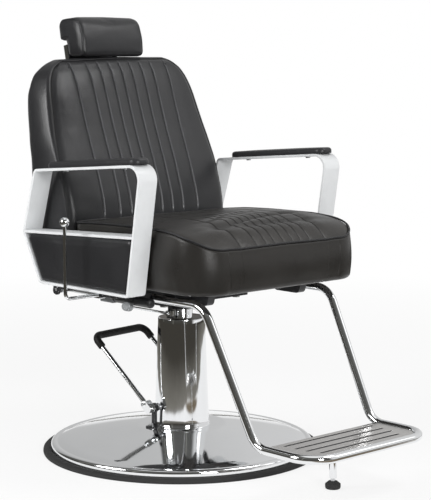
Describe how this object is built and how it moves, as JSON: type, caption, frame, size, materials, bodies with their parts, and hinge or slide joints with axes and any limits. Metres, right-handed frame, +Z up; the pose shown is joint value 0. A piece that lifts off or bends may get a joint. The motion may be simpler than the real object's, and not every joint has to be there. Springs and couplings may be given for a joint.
{
  "type": "barber chair",
  "caption": "Hydraulic barber chair with padded seat, reclining channelled back, headrest, loop arms, U-shaped footrest and round pump base.",
  "frame": {"origin": "on the floor, on the axis of the pump column", "axes": "+Z up along the column, -Y the way the sitter faces, +X the sitter's left"},
  "size_m": [0.6755, 0.9362, 0.9951],
  "materials": {
    "chrome_steel": "mirror-bright chrome plate on steel",
    "satin_arm": "satin light grey powder coat",
    "black_steel": "satin black paint",
    "grey_casting": "satin grey paint on a die casting",
    "zinc_steel": "bright zinc-plated fasteners",
    "pump_iron": "black enamelled casting",
    "ground_steel": "ground and oiled steel",
    "bronze": "turned bronze darkened by oil",
    "black_rubber": "moulded rubber, matt",
    "black_upholstery": "charcoal black coated cloth (leatherette) over foam, soft sheen",
    "black_plastic": "moulded black plastic",
    "plywood": "plywood stained black"
  },
  "bodies": {
    "base": {"base_disc": "chrome_steel", "base_rim_ring": "black_rubber", "pump_body": "pump_iron", "pump_bolts": "zinc_steel", "pump_cylinder": "ground_steel", "cylinder_bush": "bronze", "pump_sleeve": "chrome_steel", "shaft_brackets": "black_steel", "bracket_screws": "zinc_steel"},
    "pedal": {"pedal_shaft": "ground_steel", "pedal_rod": "chrome_steel", "pedal_grip": "black_rubber", "pedal_clamps": "chrome_steel", "pedal_clamp_screws": "zinc_steel"},
    "ram": {"piston": "chrome_steel"},
    "seat": {"head_hub": "black_steel", "head_plate": "black_steel", "head_plate_bolts": "zinc_steel", "frame_rails": "black_steel", "frame_straps": "black_steel", "seat_battens": "plywood", "seat_board": "plywood", "seat_cushion": "black_upholstery", "arm_loop_left": "satin_arm", "arm_loop_right": "satin_arm", "arm_pad_left": "black_plastic", "arm_pad_right": "black_plastic", "arm_pad_screws": "zinc_steel", "arm_panel_left": "black_upholstery", "arm_panel_right": "black_upholstery", "arm_bolts": "zinc_steel", "footrest_tube": "chrome_steel", "footrest_plugs": "black_plastic", "footrest_brackets": "black_steel", "footrest_bolts": "zinc_steel", "footplate": "chrome_steel", "footplate_straps": "chrome_steel", "footrest_leg": "chrome_steel", "footrest_stem": "zinc_steel", "footrest_foot": "black_rubber", "frame_hinge_plates": "black_steel", "gas_spring_cylinder": "black_steel", "release_head": "grey_casting", "spring_hanger": "black_steel", "lever_clamp": "chrome_steel"},
    "back": {"back_cushion": "black_upholstery", "back_cover": "black_upholstery", "back_hinge_plates": "black_steel", "back_pivot_pins": "ground_steel", "headrest_guide": "black_steel", "guide_knob": "black_plastic"},
    "spring_rod": {"gas_spring_rod": "ground_steel"},
    "recline_lever": {"recline_lever_rod": "chrome_steel", "recline_lever_ball": "chrome_steel"},
    "lock_lever": {"lock_lever_rod": "chrome_steel", "lock_lever_knob": "grey_casting"},
    "headrest_slider": {"headrest_carrier": "chrome_steel"},
    "headrest": {"headrest_board": "black_steel", "headrest_cushion": "black_upholstery"}
  },
  "joints": [
    {"name": "pedal_press", "type": "hinge", "parent": "base", "child": "pedal", "pos_m": [-0.00327, 0.02327, 0.104], "axis": [-0.9903, -0.1392, 0], "range_deg": [0, 30], "stiffness_Nm_per_rad": 4, "springref_deg": -20.05},
    {"name": "chair_lift", "type": "slide", "parent": "base", "child": "ram", "axis": [0, 0, 1], "range_m": [0, 0.13]},
    {"name": "seat_swivel", "type": "hinge", "parent": "ram", "child": "seat", "pos_m": [0, 0, 0.345], "axis": [0, 0, 1], "continuous": true},
    {"name": "back_recline", "type": "hinge", "parent": "seat", "child": "back", "pos_m": [0, 0.131, 0.4489], "axis": [-1, 0, 0], "range_deg": [0, 35]},
    {"name": "gas_rod_slide", "type": "slide", "parent": "seat", "child": "spring_rod", "axis": [0, -1, 0], "range_m": [0, 0.0436]},
    {"name": "recline_lever_pull", "type": "hinge", "parent": "seat", "child": "recline_lever", "pos_m": [-0.29, -0.015, 0.387], "axis": [-1, 0, 0], "range_deg": [0, 18], "stiffness_Nm_per_rad": 2, "springref_deg": -11.46},
    {"name": "lock_lever_swing", "type": "hinge", "parent": "seat", "child": "lock_lever", "pos_m": [-0.042, -0.008, 0.322], "axis": [0, 0, -1], "range_deg": [0, 14]},
    {"name": "headrest_lift", "type": "slide", "parent": "back", "child": "headrest_slider", "axis": [0, 0.2079, 0.9781], "range_m": [0, 0.072]},
    {"name": "headrest_tilt", "type": "hinge", "parent": "headrest_slider", "child": "headrest", "pos_m": [0, 0.312, 0.925], "axis": [-1, 0, 0], "range_deg": [0, 20]}
  ],
  "couplings": [
    {"joint": "gas_rod_slide", "follows": "back_recline", "m_per_rad": 0.071126}
  ]
}
